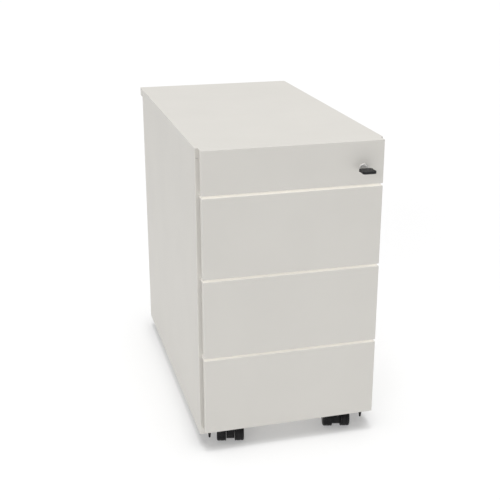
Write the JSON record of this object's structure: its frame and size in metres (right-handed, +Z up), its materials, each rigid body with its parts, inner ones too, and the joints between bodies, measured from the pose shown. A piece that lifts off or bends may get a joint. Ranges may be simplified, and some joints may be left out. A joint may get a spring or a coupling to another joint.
{
  "type": "mobile drawer pedestal",
  "caption": "Slim steel mobile drawer pedestal with a pen drawer over deep drawers, side-edge finger grips, a central key lock and swivel casters.",
  "frame": {"origin": "on the floor, under the middle of the bounding box, which includes the key in the lock", "axes": "+Z up, drawer fronts face -Y, +X to the right of someone facing the drawers"},
  "size_m": [0.3, 0.576, 0.507],
  "materials": {
    "carcass_steel": "fine-texture powder coat, warm white",
    "lid_steel": "fine-texture powder coat, warm white",
    "front_steel": "fine-texture powder coat, warm white",
    "box_steel": "smooth powder coat, warm light grey",
    "runner_steel": "bright zinc plated",
    "zinc_steel": "galvanised sheet",
    "lock_bar_steel": "zinc plated strip",
    "stem_steel": "zinc plated",
    "screw_steel": "zinc plated",
    "axle_steel": "drawn steel",
    "lock_chrome": "satin nickel",
    "key_steel": "nickel plated",
    "fob_plastic": "moulded, satin black",
    "hood_plastic": "moulded nylon, satin black",
    "wheel_plastic": "moulded nylon, satin black",
    "black_plastic": "moulded nylon, black",
    "guide_plastic": "natural acetal",
    "tray_plastic": "moulded polystyrene, charcoal"
  },
  "bodies": {
    "root": {"side_panel_left": "carcass_steel", "side_panel_right": "carcass_steel", "top_panel": "lid_steel", "back_panel": "carcass_steel", "base_panel": "carcass_steel", "upright_front_left": "zinc_steel", "upright_front_right": "zinc_steel", "upright_rear_left": "zinc_steel", "upright_rear_right": "zinc_steel", "corner_glides": "black_plastic", "body_screws": "screw_steel", "lock_bar_guides": "guide_plastic", "caster_stems": "stem_steel", "cabinet_runners_1": "runner_steel", "cabinet_runners_2": "runner_steel", "cabinet_runners_3": "runner_steel", "cabinet_runners_4": "runner_steel"},
    "drawer_1": {"drawer_front_1": "front_steel", "drawer_box_1": "box_steel", "drawer_runners_1": "runner_steel", "drawer_screws_1": "screw_steel", "lock_catch_1": "zinc_steel", "pen_tray": "tray_plastic", "lock_housing": "lock_chrome"},
    "middle_1": {"middle_runners_1": "runner_steel"},
    "drawer_2": {"drawer_front_2": "front_steel", "drawer_box_2": "box_steel", "drawer_runners_2": "runner_steel", "drawer_screws_2": "screw_steel", "lock_catch_2": "zinc_steel"},
    "middle_2": {"middle_runners_2": "runner_steel"},
    "drawer_3": {"drawer_front_3": "front_steel", "drawer_box_3": "box_steel", "drawer_runners_3": "runner_steel", "drawer_screws_3": "screw_steel", "lock_catch_3": "zinc_steel"},
    "middle_3": {"middle_runners_3": "runner_steel"},
    "drawer_4": {"drawer_front_4": "front_steel", "drawer_box_4": "box_steel", "drawer_runners_4": "runner_steel", "drawer_screws_4": "screw_steel", "lock_catch_4": "zinc_steel"},
    "middle_4": {"middle_runners_4": "runner_steel"},
    "lock_plug": {"lock_plug": "lock_chrome", "lock_cam": "stem_steel"},
    "key": {"key_blade": "key_steel", "key_fob": "fob_plastic"},
    "lock_bar": {"lock_bar": "lock_bar_steel"},
    "caster_front_left": {"hood_front_left": "hood_plastic", "axle_front_left": "axle_steel"},
    "wheel_front_left_left": {"wheel_front_left_left": "wheel_plastic"},
    "wheel_front_left_right": {"wheel_front_left_right": "wheel_plastic"},
    "caster_front_right": {"hood_front_right": "hood_plastic", "axle_front_right": "axle_steel"},
    "wheel_front_right_left": {"wheel_front_right_left": "wheel_plastic"},
    "wheel_front_right_right": {"wheel_front_right_right": "wheel_plastic"},
    "caster_rear_left": {"hood_rear_left": "hood_plastic", "axle_rear_left": "axle_steel"},
    "wheel_rear_left_left": {"wheel_rear_left_left": "wheel_plastic"},
    "wheel_rear_left_right": {"wheel_rear_left_right": "wheel_plastic"},
    "caster_rear_right": {"hood_rear_right": "hood_plastic", "axle_rear_right": "axle_steel"},
    "wheel_rear_right_left": {"wheel_rear_right_left": "wheel_plastic"},
    "wheel_rear_right_right": {"wheel_rear_right_right": "wheel_plastic"}
  },
  "joints": [
    {"name": "drawer_1_slide", "type": "slide", "parent": "root", "child": "drawer_1", "axis": [0, -1, 0], "range_m": [0, 0.4]},
    {"name": "middle_1_slide", "type": "slide", "parent": "root", "child": "middle_1", "axis": [0, -1, 0], "range_m": [0, 0.2]},
    {"name": "drawer_2_slide", "type": "slide", "parent": "root", "child": "drawer_2", "axis": [0, -1, 0], "range_m": [0, 0.4]},
    {"name": "middle_2_slide", "type": "slide", "parent": "root", "child": "middle_2", "axis": [0, -1, 0], "range_m": [0, 0.2]},
    {"name": "drawer_3_slide", "type": "slide", "parent": "root", "child": "drawer_3", "axis": [0, -1, 0], "range_m": [0, 0.4]},
    {"name": "middle_3_slide", "type": "slide", "parent": "root", "child": "middle_3", "axis": [0, -1, 0], "range_m": [0, 0.2]},
    {"name": "drawer_4_slide", "type": "slide", "parent": "root", "child": "drawer_4", "axis": [0, -1, 0], "range_m": [0, 0.4]},
    {"name": "middle_4_slide", "type": "slide", "parent": "root", "child": "middle_4", "axis": [0, -1, 0], "range_m": [0, 0.2]},
    {"name": "lock_turn", "type": "hinge", "parent": "drawer_1", "child": "lock_plug", "pos_m": [0.1115, -0.25, 0.4632], "axis": [0, 1, 0], "range_deg": [0, 90]},
    {"name": "key_slide", "type": "slide", "parent": "lock_plug", "child": "key", "axis": [0, -1, 0], "range_m": [0, 0.024]},
    {"name": "lock_bar_slide", "type": "slide", "parent": "root", "child": "lock_bar", "axis": [0, 0, -1], "range_m": [0, 0.008]},
    {"name": "swivel_front_left", "type": "hinge", "parent": "root", "child": "caster_front_left", "pos_m": [-0.0935, -0.2173, 0.045], "axis": [0, 0, 1], "continuous": true},
    {"name": "roll_front_left_left", "type": "hinge", "parent": "caster_front_left", "child": "wheel_front_left_left", "pos_m": [-0.09687, -0.23192, 0.0167], "axis": [0.9744, -0.225, 0], "continuous": true},
    {"name": "roll_front_left_right", "type": "hinge", "parent": "caster_front_left", "child": "wheel_front_left_right", "pos_m": [-0.09687, -0.23192, 0.0167], "axis": [0.9744, -0.225, 0], "continuous": true},
    {"name": "swivel_front_right", "type": "hinge", "parent": "root", "child": "caster_front_right", "pos_m": [0.0935, -0.2173, 0.045], "axis": [0, 0, 1], "continuous": true},
    {"name": "roll_front_right_left", "type": "hinge", "parent": "caster_front_right", "child": "wheel_front_right_left", "pos_m": [0.09013, -0.23192, 0.0167], "axis": [0.9744, -0.225, 0], "continuous": true},
    {"name": "roll_front_right_right", "type": "hinge", "parent": "caster_front_right", "child": "wheel_front_right_right", "pos_m": [0.09013, -0.23192, 0.0167], "axis": [0.9744, -0.225, 0], "continuous": true},
    {"name": "swivel_rear_left", "type": "hinge", "parent": "root", "child": "caster_rear_left", "pos_m": [-0.0935, 0.215, 0.045], "axis": [0, 0, 1], "continuous": true},
    {"name": "roll_rear_left_left", "type": "hinge", "parent": "caster_rear_left", "child": "wheel_rear_left_left", "pos_m": [-0.08962, 0.22949, 0.0167], "axis": [-0.9659, 0.2588, 0], "continuous": true},
    {"name": "roll_rear_left_right", "type": "hinge", "parent": "caster_rear_left", "child": "wheel_rear_left_right", "pos_m": [-0.08962, 0.22949, 0.0167], "axis": [-0.9659, 0.2588, 0], "continuous": true},
    {"name": "swivel_rear_right", "type": "hinge", "parent": "root", "child": "caster_rear_right", "pos_m": [0.0935, 0.215, 0.045], "axis": [0, 0, 1], "continuous": true},
    {"name": "roll_rear_right_left", "type": "hinge", "parent": "caster_rear_right", "child": "wheel_rear_right_left", "pos_m": [0.08962, 0.22949, 0.0167], "axis": [-0.9659, -0.2588, 0], "continuous": true},
    {"name": "roll_rear_right_right", "type": "hinge", "parent": "caster_rear_right", "child": "wheel_rear_right_right", "pos_m": [0.08962, 0.22949, 0.0167], "axis": [-0.9659, -0.2588, 0], "continuous": true}
  ],
  "couplings": [
    {"joint": "middle_1_slide", "follows": "drawer_1_slide", "ratio": 0.5},
    {"joint": "middle_2_slide", "follows": "drawer_2_slide", "ratio": 0.5},
    {"joint": "middle_3_slide", "follows": "drawer_3_slide", "ratio": 0.5},
    {"joint": "middle_4_slide", "follows": "drawer_4_slide", "ratio": 0.5},
    {"joint": "lock_turn", "follows": "lock_bar_slide", "rad_per_m": 196.34}
  ]
}
